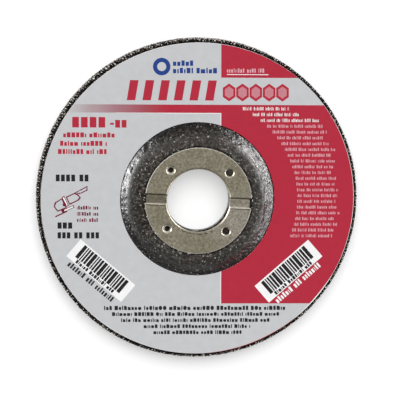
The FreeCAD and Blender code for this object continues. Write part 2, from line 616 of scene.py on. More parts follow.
def rectangle(x_from, x_to, y_from, y_to):
    """Corners of an upright rectangle."""
    return [(x_from, y_from), (x_to, y_from), (x_to, y_to), (x_from, y_to)]


def placed(points, x, y, angle=0.0):
    """Points turned by an angle and moved to a place."""
    cosine = math.cos(angle)
    sine = math.sin(angle)
    return [(x + px * cosine - py * sine, y + px * sine + py * cosine) for px, py in points]


def cut_sheet(outlines, loops=(), lines=()):
    """Flat triangulation that follows every line: points, triangles, and the outlines over each."""
    points = []
    edges = []
    faces = []
    for outline in outlines:
        faces.append(list(range(len(points), len(points) + len(outline))))
        points += outline
    for loop in loops:
        first = len(points)
        edges += [(first + index, first + (index + 1) % len(loop)) for index in range(len(loop))]
        points += loop
    for line in lines:
        edges.append((len(points), len(points) + 1))
        points += line
    enclosed_triangles = 1
    nearest = 1e-5
    cut = geometry.delaunay_2d_cdt([Vector(point) for point in points], edges, faces,
                                   enclosed_triangles, nearest)
    return [tuple(point) for point in cut[0]], [tuple(face) for face in cut[2]], cut[5]


def boundary_edges(faces):
    """Each open edge of a triangulated sheet, as (from, to)."""
    seen = {edge for face in faces for edge in zip(face, face[1:] + face[:1])}
    return [(a, b) for a, b in seen if (b, a) not in seen]


# Ring

# Rounded edges of the sheet, as radii with how far it drops there: the barbs' mouths and the
# flange's outer edge
barb_mouth_radii = (1.24, 1.36, 1.5, 1.66, 1.8)
barb_mouth_drops = (0.55, 0.36, 0.2, 0.07, 0.0)
edge_round_radii = (18.78, 18.86, 18.94, flange_radius)
edge_round_drops = (0.0, 0.02, 0.07, 0.17)

# Width of a groove's rounded edges, of the strip beside a rounding, and of an upright wall
groove_round = 0.13
support = 0.08
thin = 0.015

# Half width of a groove's back, where its walls have the sheet's thickness
groove_slope = groove_wall_run / groove_depth
groove_back_half_width = (
    groove_half_width + sheet_thickness / math.cos(math.atan(groove_slope))
    - sheet_thickness * groove_slope
)

# Shaded line below each groove: how wide it is, and where it begins to fade
shade_width = 0.4
shade_fade = 0.3

# Pierced holes, whose barbs are opened wider on the right
left_hole_radius = 0.84
right_hole_radius = 1.34
hole_radius_limits = (0.62, 1.44)
hole_corners = 26

# How many corners stand for a circle of the sheet, and the extra circles between its edges
flange_corners = 540
crease_corners = 400
barb_crease_corners = 40
middle_creases = (13.2, 16.6)


def barb_middles():
    """Where the barbs' axes are, on the barb circle."""
    angles = [ring_pattern_turn + (2 * index + 1) * math.pi / barb_count
              for index in range(barb_count)]
    return [(barb_circle_radius * math.cos(a), barb_circle_radius * math.sin(a)) for a in angles]


def above_grooves(x, y):
    """How far points are above the line along both grooves, and below it where negative."""
    return y * math.cos(ring_pattern_turn) - x * math.sin(ring_pattern_turn)


def across_grooves(x, y):
    """Distance of points from the line along both grooves."""
    return np.abs(above_grooves(x, y))


def from_barbs(x, y):
    """Distance of points from the nearest barb's axis."""
    return np.min([np.hypot(x - bx, y - by) for bx, by in barb_middles()], axis=0)


def plateau(values, rise_from, rise_to, fall_from, fall_to, height=1.0):
    """A height that is held between two slopes, and nothing beyond them."""
    return np.interp(values, [rise_from, rise_to, fall_from, fall_to], [0, height, height, 0])


def ring_top_near_bore(r):
    """Height of the rounded lip at a radius."""
    bend_reach = np.clip((bore_radius + bend_outer_radius - r) / bend_outer_radius, 0, 1)
    return hub_top_z - bend_outer_radius * (1 - np.sqrt(1 - bend_reach ** 2))


def ring_top(x, y):
    """Height of the pressed sheet's upper face."""
    r = np.hypot(x, y)
    eased = 0.04
    half = groove_half_width
    drop = np.interp(across_grooves(x, y), [
        half - groove_wall_run - groove_round, half - groove_wall_run, half, half + groove_round,
    ], [groove_depth, groove_depth - eased, eased, 0])
    drop = np.maximum(drop, np.interp(r, edge_round_radii, edge_round_drops))
    drop = np.maximum(drop, np.interp(from_barbs(x, y), barb_mouth_radii, barb_mouth_drops))
    return np.minimum(ring_top_near_bore(r), hub_top_z - drop)


def ring_bottom(x, y):
    """Height of the sheet's lower face, with its collar, groove backs and barbs."""
    bend = np.interp(np.hypot(x, y), [
        collar_outer_radius, collar_outer_radius + thin, collar_outer_radius + bend_inner_bevel,
    ], [collar_bottom_z, flange_bottom_z - bend_inner_bevel, flange_bottom_z])
    groove_back = np.interp(across_grooves(x, y), [
        groove_back_half_width - groove_wall_run, groove_back_half_width,
    ], [flange_bottom_z - groove_depth, flange_bottom_z])
    barb = np.interp(from_barbs(x, y), [barb_outer_radius - thin, barb_outer_radius],
                     [hub_top_z - barb_length, flange_bottom_z])
    return np.minimum(np.minimum(bend, groove_back), barb)


def lower_left_of_barb(x, y):
    """From 1 at the lower left of the nearest barb to -1 at its upper right."""
    middles = np.array(barb_middles())
    offsets = np.stack([x, y], -1)[:, None, :] - middles[None]
    lengths = np.linalg.norm(offsets, axis=2)
    nearest = np.argmin(lengths, axis=1)
    rows = np.arange(len(x))
    offset = offsets[rows, nearest] / np.maximum(lengths[rows, nearest], 0.01)[:, None]
    return -(offset[:, 0] + offset[:, 1]) / math.sqrt(2)


def ring_painted_highlights(points):
    """Painted highlights: the outer edge, the lip, the barbs' mouths, most at their lower left, and
    the lower edge of each groove.
    """
    x, y, z = points.T
    r = np.hypot(x, y)
    on_top = z > flange_bottom_z - 0.1
    edge = np.interp(r, [edge_round_radii[0] - support, edge_round_radii[1]], [0, 1])
    lip = plateau(r, bore_radius + 0.08, bore_radius + 0.18, bore_radius + 0.3,
                  bore_radius + 0.42, 0.45)
    mouth = np.interp(from_barbs(x, y), [0.9, 1.0, 1.6, 1.78], [0.3, 1, 1, 0])
    # The mouths' painted highlight is strongest at their lower left
    mouth = mouth * np.clip(0.6 + 0.4 * lower_left_of_barb(x, y), 0, 1)
    lower = -groove_half_width
    groove = np.interp(above_grooves(x, y), [
        lower - groove_round - support, lower - groove_round, lower, lower + groove_wall_run,
        lower + groove_wall_run + groove_round,
    ], [0, 0.5, 1.1, 0.3, 0])
    return np.max([edge, lip, mouth, groove], axis=0) * on_top


def ring_painted_shade(points):
    """Painted shade: a ring outside the lip below, the upper groove walls, the holes, and the lip's
    inner edge below.
    """
    x, y, z = points.T
    r = np.hypot(x, y)
    shade = plateau(r, bore_radius + 0.45, bore_radius + 0.65, bore_radius + 1.0,
                    bore_radius + 1.25, 0.45) * np.clip(-y / r, 0, 1)
    corner = groove_half_width - groove_wall_run
    groove = plateau(above_grooves(x, y), corner - groove_round - support, corner - groove_round,
                     corner, groove_half_width, 0.85)
    groove = groove * (z > flange_bottom_z - groove_depth + 0.05)
    hole = np.interp(from_barbs(x, y), [0.9, 1.05], [0.8, 0])
    inner_lip = np.interp(r, [bore_radius, bore_radius + 0.15], [0.6, 0]) * (y < 2)
    return np.max([shade, groove, hole, inner_lip], axis=0)


def ring_shade(points):
    """How much darker the sheet is, from 0 to 1: the left groove, and a line below each groove."""
    x, y, _ = points.T
    floor = np.interp(across_grooves(x, y), [groove_half_width - groove_wall_run,
                                             groove_half_width], [0.6, 0])
    upper = -groove_half_width - groove_round - support
    below = plateau(above_grooves(x, y), upper - shade_width, upper - shade_fade, upper,
                    upper + support)
    return np.maximum(floor * (x < 0), below)


def torn_hole(random, x, y):
    """Uneven outline of one pierced hole."""
    radius = left_hole_radius if x < 0 else right_hole_radius
    swell = random.normal(0, 0.07, hole_corners)
    swell = swell + 0.5 * (np.roll(swell, 1) + np.roll(swell, -1))
    angles = whole_turn * np.arange(hole_corners) / hole_corners
    radii = np.clip(radius + swell, *hole_radius_limits)
    return [(x + r * math.cos(a), y + r * math.sin(a)) for r, a in zip(radii, angles)]


def flange_outline():
    """The flange's outer edge, which stops short across the grooves' ends, most at the right."""
    extra_at_right = 0.25
    outline = []
    for x, y in circle(flange_radius, flange_corners):
        if across_grooves(x, y) < groove_half_width:
            setback = groove_end_setback + (extra_at_right if x > 0 else 0)
            share = 1 - setback / flange_radius
            x, y = x * share, y * share
        outline.append((x, y))
    return outline


def ring_creases():
    """Closed and open lines that the sheet's triangles follow."""
    rounds = 8
    bend_steps = [bore_radius + bend_outer_radius * (1 - math.sin(math.pi / 2 * index / rounds))
                  for index in range(rounds)]
    loops = [circle(radius, crease_corners) for radius in (
        *bend_steps, bore_radius + 1.25, collar_outer_radius, collar_outer_radius + thin,
        bore_radius + bend_outer_radius + support, edge_round_radii[0] - support,
        *edge_round_radii[:-1], *middle_creases,
    )]
    barb_lines = (barb_outer_radius - thin, barb_outer_radius, *barb_mouth_radii,
                  barb_mouth_radii[-1] + support)
    for x, y in barb_middles():
        loops += [placed(circle(radius, barb_crease_corners), x, y) for radius in barb_lines]
    half = groove_half_width
    corner = half - groove_wall_run
    strip = half + groove_round + support
    lines = []
    for level in (corner - groove_round - support, corner - groove_round, corner, half,
                  half + groove_round, strip, strip + shade_fade, strip + shade_width,
                  groove_back_half_width, groove_back_half_width - groove_wall_run):
        for side in (-1, 1):
            ends = [(-flange_radius, side * level), (flange_radius, side * level)]
            lines.append(placed(ends, 0, 0, ring_pattern_turn))
    return loops, lines


def ring_piece(materials):
    """Pressed ring: one cut-out sheet with an upper and a lower face, closed along its edges."""
    random = np.random.default_rng(51)
    openings = [circle(bore_radius, crease_corners)]
    openings += [torn_hole(random, x, y) for x, y in barb_middles()]
    flat, faces, sources = cut_sheet([flange_outline(), *openings], *ring_creases())
    # The flange is outline 0, and the openings are the ones after it
    opening_numbers = set(range(1, 1 + len(openings)))
    kept = [face for face, source in zip(faces, sources)
            if 0 in source and not set(source) & opening_numbers]
    flat = np.array(flat)
    closed_sheet("ring", flat, kept, ring_top(*flat.T), ring_bottom(*flat.T), materials)


def shade_band_reach(x, y):
    """How far down the collar's wall the band of painted shade reaches: hardly at all at the top of
    the bore.
    """
    least = 0.06
    usual = 2.6
    uneven = 0.9
    most = 4
    angles = np.degrees(np.arctan2(y, x)) % 360
    reach = np.interp(angles, [205, 218, 254, 260, 268, 273, 340, 352],
                      [0, 1, 1, 0.25, 0.25, 1, 1, 0])
    ragged = lattice_noise(np.c_[x, y, np.zeros(len(x))], 0.9, 52)
    return least + reach * np.clip(usual + uneven * ragged, 0, most)


def closed_sheet(name, flat, triangles, top, bottom, materials):
    """Solid piece between two heights over a flat triangulation, its bore wall in two parts."""
    count = len(flat)
    middle = top - shade_band_reach(*flat.T)
    vertices = np.concatenate([np.c_[flat, top], np.c_[flat, bottom], np.c_[flat, middle]])
    faces = list(triangles)
    faces += [(c + count, b + count, a + count) for a, b, c in triangles]
    on_bore = np.hypot(*flat.T) < bore_radius + 0.01
    slots = [0] * len(faces)
    for a, b in boundary_edges(triangles):
        steps = (0, 2, 1) if on_bore[a] and on_bore[b] else (0, 1)
        for upper, lower in zip(steps, steps[1:]):
            faces.append((a + upper * count, a + lower * count, b + lower * count))
            faces.append((a + upper * count, b + lower * count, b + upper * count))
            slots += [1 if lower == 2 else 0] * 2
    used = np.unique(np.array(faces))
    number = np.zeros(3 * count, int)
    number[used] = np.arange(len(used))
    faces = number[np.array(faces)].tolist()
    piece = make_piece(name, vertices[used], faces, materials, slots)
    # Painted highlights, painted shade and the darker shade lines, kept for the ring's material
    keep_values(piece, "painted_highlight", ring_painted_highlights(vertices[used]))
    keep_values(piece, "grime", ring_painted_shade(vertices[used]))
    keep_values(piece, "shade", ring_shade(vertices[used]))
    piece.data.shade_smooth()
    piece.data.set_sharp_from_angle(angle=math.radians(50))
    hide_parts("centre_ring")


# Label print

# Lines of print larger than this are plain rectangles only
largest_cut_print = 1.6
print_block_kinds = 3

# The print is level in the photograph, though the view is tilted: it leans and stretches by as
# much as the tilt takes off
print_lean = -0.0155
print_stretch = 1.0068
print_lift = 0.286

# Corners of the label's outer edge and of its inner one
paper_edge_corners = 480
paper_hole_corners = 300


def print_block(kind, width, height):
    """One of three simple shapes that stand in a line of print."""
    cut = 0.3 * min(width, height)
    if kind == 0:
        return rectangle(0, width, 0, height)
    if kind == 1:
        return [(cut, 0), (width - cut, 0), (width, cut), (width, height - cut),
                (width - cut, height), (cut, height), (0, height - cut), (0, cut)]
    return [(0, 0), (width, 0), (width, height - cut), (width - cut, height), (0, height)]


def print_words(random, counts, size, weight, even):
    """Blocks in words of the given counts, from x = 0. Even ones are all alike."""
    gap = 0.2 * size
    space = 0.45 * size
    blocks = []
    x = 0.0
    for count in counts:
        for _ in range(count):
            width = size * weight * (1.3 if even else random.choice((0.45, 0.95, 1.15, 1.35)))
            height = size * (1.0 if even else random.choice((0.76, 1.0)))
            plain = even or size > largest_cut_print
            kind = 0 if plain else random.integers(print_block_kinds)
            blocks.append(placed(print_block(kind, width, height), x, 0))
            x += width + gap
        x += space
    return blocks


def printed_line(ink, random, x, y, length, size, weight, angle=0.0):
    """Print shapes of one line that fills a length."""
    most_words = 40
    counts = random.integers(3, 10, most_words)
    blocks = print_words(random, counts, size, weight, False)
    return [(ink, placed(block, x, y, angle)) for block in blocks if block[1][0] <= length]


def heading(ink, x, y, counts, size, weight):
    """Print shapes of one bold line, with the given number of blocks in each word."""
    return [(ink, placed(block, x, y)) for block in print_words(None, counts, size, weight, True)]


def colour_fields():
    """The label's large fields, as in part.py, and the hairlines of paper between them."""
    edge = wheel_radius
    hairline = 0.22
    line_starts_x = -29
    line_widens_x = -12
    stripe_y = field_stripe_bottom_y
    return [
        ("ink_red", rectangle(field_split_x, edge, field_band_top_y, edge)),
        ("ink_fade", rectangle(-edge, field_split_x, stripe_y, field_band_bottom_y)),
        ("ink_red", rectangle(field_split_x, edge, field_floor_y, field_band_bottom_y)),
        ("ink_white", rectangle(line_starts_x, line_widens_x, stripe_y - 0.5 * hairline, stripe_y)),
        ("ink_white", rectangle(line_widens_x, field_split_x, stripe_y - hairline, stripe_y)),
        ("ink_white", rectangle(field_split_x - hairline, field_split_x, field_floor_y, stripe_y)),
    ]


def right_text():
    """Block of white lines that wraps round the hub on the red field."""
    random = np.random.default_rng(41)
    lines = 23
    bold_lines = 3
    first_y = 31.9
    line_pitch = 2.057
    inner_reach = 35.8
    outer_reach = 52.6
    shapes = []
    for index in range(lines):
        y = first_y - index * line_pitch
        left = math.sqrt(inner_reach ** 2 - y ** 2)
        right = math.sqrt(outer_reach ** 2 - y ** 2)
        length = right - left - random.uniform(0.3, 3.2)
        if index < 2:
            length = 16.5
        ink_name, size, weight = ("ink_soft_white", 1.1, 0.23)
        if index < bold_lines:
            ink_name, size, weight = ("ink_white", 1.18, 0.19)
        shapes += printed_line(ink_name, random, left, y - size / 2, length, size, weight)
    return shapes


def bottom_text():
    """Five dark lines across the foot of the label, the first a little larger."""
    random = np.random.default_rng(42)
    first_y = -39.3
    line_pitch = 2.19
    reach = 51.5
    shapes = []
    for index, share in enumerate((1, 1, 1, 0.82, 0.85)):
        y = first_y - index * line_pitch
        half = math.sqrt(reach ** 2 - y ** 2) * share
        size = 1.5 if index == 0 else 1.35
        shapes += printed_line("ink_black", random, -half, y - size / 2, 2 * half, size, 0.6)
    return shapes


def left_text():
    """Headings and lines on the grey field at the left."""
    random = np.random.default_rng(43)
    shapes = heading("ink_red", -44.3, 25.0, (4,), 3.7, 0.49)
    shapes.append(("ink_red", rectangle(-30.9, -29.6, 26.0, 26.7)))
    shapes += heading("ink_red", -29.1, 25.0, (2,), 2.7, 0.49)
    for y, x, length in ((21.5, -47.5, 18.6), (18.5, -48.6, 16.6), (15.6, -49.4, 17.2)):
        shapes += printed_line("ink_red", random, x, y, length, 1.75, 0.55)
    shapes += heading("ink_black", -50.2, 5.9, (4, 2), 2.4, 0.43)
    shapes += heading("ink_black", -49.7, -10.9, (3,), 2.2, 0.5)
    shapes += heading("ink_black", -49.7, -14.4, (3, 2, 3), 2.2, 0.42)
    for y in (-4.1, -6.3, -8.5):
        shapes += printed_line("ink_dark_red", random, -42.8, y, 7.8, 1.35, 0.34)
    return shapes


def outlined(points, line, inside_ink):
    """A closed shape in dark red with its inside, whose corners are pulled in by a line's width."""
    most_pull = 0.5
    middle_x, middle_y = (sum(values) / len(points) for values in zip(*points))
    inside = []
    for x, y in points:
        reach_x = x - middle_x
        reach_y = y - middle_y
        inside.append((x - math.copysign(min(line, abs(reach_x) * most_pull), reach_x),
                       y - math.copysign(min(line, abs(reach_y) * most_pull), reach_y)))
    return [("ink_dark_red", points), (inside_ink, inside)]


def tool_sign():
    """Plain sign of an angle grinder on its disc, in dark red outline."""
    line = 0.4
    thin_line = 0.8 * line
    handle = [(4.5, 1.25), (5.75, 0.0), (8.85, 0.0), (9.5, 1.5)]
    body = [(0.8, -1.95), (4.5, -1.9), (5.6, -1.35), (5.2, 0.3), (4.5, 1.2), (0.8, 1.2)]
    head = [(-4.5, -0.1), (-4.1, -2.4), (-0.45, -2.5), (-0.5, 1.35), (-3.5, 1.06)]
    collar = rectangle(-0.5, 0.5, -2.1, 1.75)
    button = placed(circle(0.66, 14), -0.75, -1.06)
    spindle = rectangle(-2.7, -1.6, -3.4, -2.4)
    guard = rectangle(-2.0, 2.1, -3.5, -2.55)
    disc = rectangle(-5.5, -0.9, -3.85, -3.4)
    parts = []
    for points in (handle, body, head):
        parts += outlined(points, line, "paper_grey")
    parts += outlined(collar, thin_line, "ink_white")
    parts += [("ink_dark_red", button), ("ink_dark_red", spindle)]
    parts += outlined(guard, thin_line, "ink_white")
    parts.append(("ink_dark_red", disc))
    tilt = math.radians(25)
    return [(ink, placed(points, -47.0, -1.05, tilt)) for ink, points in parts]


def bar_panel(x, y, angle, text_ink):
    """White panel with bars in a rhythm that repeats, and a line of print on it and beside it."""
    random = np.random.default_rng(44)
    half_width = 12.7
    half_height = 3.95
    bars = 17
    bar_widths = (1.3, 0.5, 0.7, 0.9)
    bar_gap = 0.34
    left = -10.2
    parts = [("ink_white", rectangle(-half_width, half_width, -half_height, half_height))]
    for index in range(bars):
        bar_width = bar_widths[index % len(bar_widths)]
        parts.append(("ink_black", rectangle(left, left + bar_width, -2.1, 3.4)))
        left += bar_width + bar_gap
    shapes = [(ink, placed(points, x, y, angle)) for ink, points in parts]
    start = placed([(-10.4, -half_height - 2.4)], x, y, angle)[0]
    shapes += printed_line(text_ink, random, *start, 20.6, 2.0, 0.3, angle)
    start = placed([(-8.9, -half_height + 0.3)], x, y, angle)[0]
    shapes += printed_line("ink_black", random, *start, 17.0, 1.4, 0.5, angle)
    return shapes


def top_band():
    """A row of slanted bars and one of hexagons across the label, with a circle and lines above."""
    bar_pitch = 5.55
    slanted = [(-25.0, 34.7), (-22.0, 34.7), (-20.8, 41.8), (-23.8, 41.8)]
    shapes = [("ink_red", placed(slanted, index * bar_pitch, 0)) for index in range(6)]
    hexagon_pitch = 4.75
    hexagon_stretch = 1.22
    corner_angles = [math.radians(30 + 60 * side) for side in range(6)]
    for index in range(5):
        for ink, size in (("ink_red", 2.6), ("ink_pink", 1.75)):
            hexagon = [(size * math.cos(a), hexagon_stretch * size * math.sin(a))
                       for a in corner_angles]
            shapes.append((ink, placed(hexagon, 11.3 + index * hexagon_pitch, 37.6)))
    for ink, radius in (("ink_blue", 3.1), ("paper_grey", 1.6)):
        shapes.append((ink, placed(circle(radius, 36), -12.6, 46.6)))
    random = np.random.default_rng(45)
    for y, length in ((46.9, 7.5), (44.3, 16.5)):
        shapes += printed_line("ink_blue", random, -8.6, y, length, 1.9, 0.62)
    shapes += printed_line("ink_soft_white", random, 10.5, 44.6, 14.0, 1.5, 0.32)
    shapes.append(("ink_white", rectangle(10.5, 25.3, 43.8, 44.05)))
    return shapes


def edge_arc(ink, from_degrees, to_degrees, width):
    """Thin printed line along the label's outer edge, which narrows to nothing at both ends."""
    steps = max(6, round(abs(to_degrees - from_degrees) / 2))
    past_edge = 0.5
    outside = []
    inside = []
    for index in range(steps + 1):
        share = index / steps
        angle = math.radians(from_degrees + (to_degrees - from_degrees) * share)
        for corners, radius in ((outside, paper_radius + past_edge),
                                (inside, paper_radius - width * math.sin(math.pi * share))):
            corners.append((radius * math.cos(angle), radius * math.sin(angle)))
    return ink, placed(outside + inside[::-1], paper_shift, 0)


def levelled(shapes):
    """Print shapes with the small lean, stretch and lift that make them level in the picture."""
    return [(ink, [(x, y * print_stretch + x * print_lean + print_lift) for x, y in points])
            for ink, points in shapes]


def label_shapes():
    """Everything printed on the label, lowest first."""
    edges = [
        edge_arc("ink_white", -52, 52, 0.12),
        edge_arc("ink_white", 44, 190, 0.12),
        edge_arc("ink_white", 184, 276, 0.12),
        edge_arc("ink_red", -88, -46, 0.17),
        edge_arc("ink_white", -52, -28, 0.34),
    ]
    on_top = top_band() + left_text() + tool_sign() + right_text() + bottom_text()
    on_top += bar_panel(-34.4, -25.9, math.radians(-40.2), "ink_black")
    on_top += bar_panel(32.7, -26.1, math.radians(41.0), "ink_white")
    return levelled(colour_fields()) + edges + levelled(on_top)


def counter_clockwise(points):
    """The points, turned round if they run clockwise."""
    area = sum(x0 * y1 - x1 * y0 for (x0, y0), (x1, y1) in zip(points, points[1:] + points[:1]))
    return points if area > 0 else points[::-1]


def label_faces(shapes, slot_names):
    """The printed face cut along every shape's outline: points, triangles and slots."""
    trimmed = placed(circle(paper_radius, paper_edge_corners), paper_shift, 0)
    outlines = [trimmed, circle(label_inner_radius, paper_hole_corners)]
    outlines += [counter_clockwise(points) for _, points in shapes]
    points, faces, sources = cut_sheet(outlines)
    kept = []
    slots = []
    # The paper is outline 0 and its hole outline 1, and the last shape over a triangle shows
    for face, source in zip(faces, sources):
        if 0 in source and 1 not in source:
            top = max(source)
            kept.append(face)
            slots.append(slot_names.index(shapes[top - 2][0]) if top > 1 else 0)
    return points, kept, slots


def label_piece(materials):
    """Paper ring with its print, closed with an edge and an underside."""
    slot_names = list(materials)
    flat, faces, slots = label_faces(label_shapes(), slot_names)
    used = sorted({index for face in faces for index in face})
    number = {old: new for new, old in enumerate(used)}
    faces = [tuple(number[index] for index in face) for face in faces]
    vertices = [(*flat[index], wheel_thickness) for index in used]
    below = {}
    printed = len(faces)
    for a, b in sorted(boundary_edges(faces)):
        for index in (a, b):
            if index not in below:
                below[index] = len(vertices)
                vertices.append((*vertices[index][:2], label_bottom_z))
        faces.append((a, below[a], below[b]))
        faces.append((a, below[b], b))
    faces += label_underside(vertices, below.values())
    slots += [slot_names.index("paper_edge")] * (len(faces) - printed)
    piece = make_piece("label", vertices, faces, list(materials.values()), slots)
    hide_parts("paper_label")


def label_underside(vertices, indices):
    """Triangles between the underside's two circles."""
    split = (label_inner_radius + label_outer_radius) / 2
    loops = ([], [])
    for index in indices:
        x, y, _ = vertices[index]
        loops[math.hypot(x, y) > split].append((math.atan2(y, x) % whole_turn, index))
    inner, outer = (sorted(loop) for loop in loops)
    return stitched(inner, outer, whole_turn)


# Materials


class Surface:
    """A material and the nodes that make it."""

    def __init__(self, name):
        self.material = bpy.data.materials.new(name)
        self.material.use_nodes = True
        self.tree = self.material.node_tree

    def put(self, socket, value):
        """Links a node's input to a socket, or sets it to a value."""
        if isinstance(value, bpy.types.NodeSocket):
            self.tree.links.new(value, socket)
        else:
            socket.default_value = value

    def node(self, kind, inputs=None, **settings):
        """New shader node with its settings and inputs."""
        made = self.tree.nodes.new(kind)
        for name, value in settings.items():
            setattr(made, name, value)
        for key, value in (inputs or {}).items():
            self.put(made.inputs[key], value)
        return made

    def math(self, operation, first, second):
        """Result of one operation on two numbers."""
        return self.node("ShaderNodeMath", {0: first, 1: second}, operation=operation).outputs[0]

    def vector_math(self, operation, inputs, output):
        """Result of one operation on vectors: a "Vector" or a "Value"."""
        inputs = dict(enumerate(inputs))
        return self.node("ShaderNodeVectorMath", inputs, operation=operation).outputs[output]

    def where(self):
        """Where on the object a point is, in metres."""
        return self.node("ShaderNodeTexCoord").outputs["Object"]

    def where_x(self):
        """How far towards +X a point is, in metres."""
        return self.node("ShaderNodeSeparateXYZ", {"Vector": self.where()}).outputs["X"]

    def from_axis(self):
        """Distance from the bore's axis, in metres."""
        flat = self.vector_math("MULTIPLY", [self.where(), (1, 1, 0)], "Vector")
        return self.vector_math("LENGTH", [flat], "Value")

    def pattern_place(self, shift):
        """Where a pattern is read. Patterns with unlike shifts differ."""
        offset = (shift, shift * 1.7, shift * 0.6)
        return self.vector_math("ADD", [self.where(), offset], "Vector")

    def noise(self, size, detail, roughness, shift):
        """Noise from 0 to 1 with features of about a size in millimetres."""
        return self.node("ShaderNodeTexNoise", {
            "Vector": self.pattern_place(shift), "Scale": 1 / (size * MM), "Detail": detail,
            "Roughness": roughness,
        }).outputs["Fac"]

    def cell_tone(self, size, shift):
        """Tone from 0 to 1 of each cell, the cells of about a size in millimetres."""
        cells = self.node("ShaderNodeTexVoronoi", {
            "Vector": self.pattern_place(shift), "Scale": 1 / (size * MM),
        })
        split = self.node("ShaderNodeSeparateColor", {"Color": cells.outputs["Color"]})
        return split.outputs["Red"]

    def attribute(self, name):
        """Value that the mesh keeps for each vertex."""
        return self.node("ShaderNodeAttribute", attribute_name=name).outputs["Fac"]

    def ramp(self, factor, *stops):
        """Colour that follows a factor, from stops of a position and a colour."""
        made = self.node("ShaderNodeValToRGB", {"Fac": factor})
        elements = made.color_ramp.elements
        stops = [(position, (*colour, 1)[:4]) for position, colour in stops]
        elements[0].position, elements[0].color = stops[0]
        elements[1].position, elements[1].color = stops[-1]
        for position, colour in stops[1:-1]:
            elements.new(position).color = colour
        return made.outputs["Color"]

    def spread(self, factor, low, high, from_low=0.3, from_high=0.7):
        """From low to high as a factor goes from one value to another."""
        return self.node("ShaderNodeMapRange", {
            "Value": factor, "From Min": from_low, "From Max": from_high, "To Min": low,
            "To Max": high,
        }).outputs["Result"]

    def along(self, distance, start, end, low=0.0, high=1.0):
        """From low to high as a distance in metres goes from start to end in millimetres."""
        return self.spread(distance, low, high, start * MM, end * MM)

    def mixed(self, factor, first, second, blend_type="MIX"):
        """Two colours mixed by a factor."""
        return self.node("ShaderNodeMix", {0: factor, 6: first, 7: second}, data_type="RGBA",
                         blend_type=blend_type).outputs[2]

    def times(self, first, second):
        """Product of two colours."""
        return self.mixed(1.0, first, second, "MULTIPLY")

    def bump(self, height, distance, strength, **below):
        """Relief from a height, its distance in millimetres, over the normal below it."""
        inputs = {"Height": height, "Distance": distance * MM, "Strength": strength, **below}
        return self.node("ShaderNodeBump", inputs).outputs["Normal"]

    def finish(self, inputs):
        """The material, with its shader's inputs linked or set."""
        shader = self.tree.nodes["Principled BSDF"]
        for key, value in inputs.items():
            self.put(shader.inputs[key], value)
        return self.material


def linear(red, green, blue):
    """Linear colour from the 0 to 255 tones of a picture."""
    tones = []
    for tone in (red, green, blue):
        share = tone / 255
        tones.append(share / 12.92 if share <= 0.04045 else ((share + 0.055) / 1.055) ** 2.4)
    return (*tones, 1)


def bonded_grain():
    """Dark resin between exposed grains, for the rim, the face and the recess."""
    surface = Surface("bonded_grain")
    tones = surface.ramp(
        surface.cell_tone(0.7, 0.0),
        (0.0, linear(8, 7, 7)), (0.55, linear(15, 14, 13)), (0.82, linear(36, 32, 29)),
        (0.95, linear(84, 76, 69)), (1.0, linear(160, 152, 143)),
    )
    dust = surface.ramp(surface.noise(0.3, 3, 0.6, 0.01),
                        (0.35, (0.55, 0.54, 0.53)), (0.7, (1.2, 1.18, 1.16)))
    return surface.finish({
        "Base Color": surface.times(tones, dust),
        "Specular IOR Level": 0.08,
        "Roughness": surface.spread(surface.noise(0.5, 2, 0.5, 0.02), 0.5, 0.85),
        "Normal": surface.bump(surface.noise(0.16, 3, 0.6, 0.03), 0.05, 0.8),
    })


def resin_tones(surface):
    """The hub's dark skin, mottled with grain that shows through, with painted light on its land and
    shoulder and painted shade towards its foot.
    """
    ground = surface.ramp(surface.noise(4.0, 2, 0.5, 0.05), (0.32, linear(44, 37, 33)),
                          (0.5, linear(50, 45, 41)), (0.68, linear(54, 53, 48)))
    mottle = surface.ramp(surface.noise(1.3, 3, 0.6, 0.06), (0.34, (0.6, 0.59, 0.58)),
                          (0.5, (0.95, 0.94, 0.93)), (0.66, (1.5, 1.47, 1.44)))
    grain = surface.ramp(
        surface.cell_tone(0.58, 0.12),
        (0.0, (0.16, 0.16, 0.16)), (0.5, (0.8, 0.78, 0.76)), (0.8, (1.66, 1.68, 1.68)),
        (0.95, (2.3, 2.55, 2.75)), (1.0, (3.5, 4.2, 4.8)),
    )
    grit = surface.ramp(
        surface.cell_tone(0.4, 0.17),
        (0.0, (0.5, 0.5, 0.5)), (0.5, (0.9, 0.88, 0.87)), (0.88, (1.45, 1.5, 1.52)),
        (1.0, (2.0, 2.15, 2.25)),
    )
    towards_foot = surface.along(surface.from_axis(), 19.5, 27.0)
    # Painted light and shade: paler on the land and shoulder, much darker towards the foot
    lit_top_shaded_foot = surface.ramp(
        towards_foot,
        (0.0, (1.25, 1.22, 1.2)), (0.3, (1.15, 1.13, 1.1)), (0.6, (0.85, 0.85, 0.85)),
        (1.0, (0.38, 0.38, 0.4)),
    )
    tones = ground
    for layer in (mottle, grain, grit, lit_top_shaded_foot):
        tones = surface.times(tones, layer)
    return tones


def ring_gap_shade(surface, to_upper_right):
    """Share of the skin's tones kept in the ragged gap round the flange; the rest is painted shade
    in near black, darkest at the upper right.
    """
    ragged = surface.spread(surface.noise(1.1, 2, 0.5, 0.14), -0.3 * MM, 0.3 * MM)
    radius = surface.math("ADD", surface.from_axis(), ragged)
    shade = surface.along(to_upper_right, -8, 8, 0.65, 0.1)
    outside = surface.math("MAXIMUM", surface.along(radius, 19.35, 19.7), shade)
    inside = surface.along(radius, 17.5, 18.5, 1.0, 0.0)
    return surface.math("MAXIMUM", outside, inside)


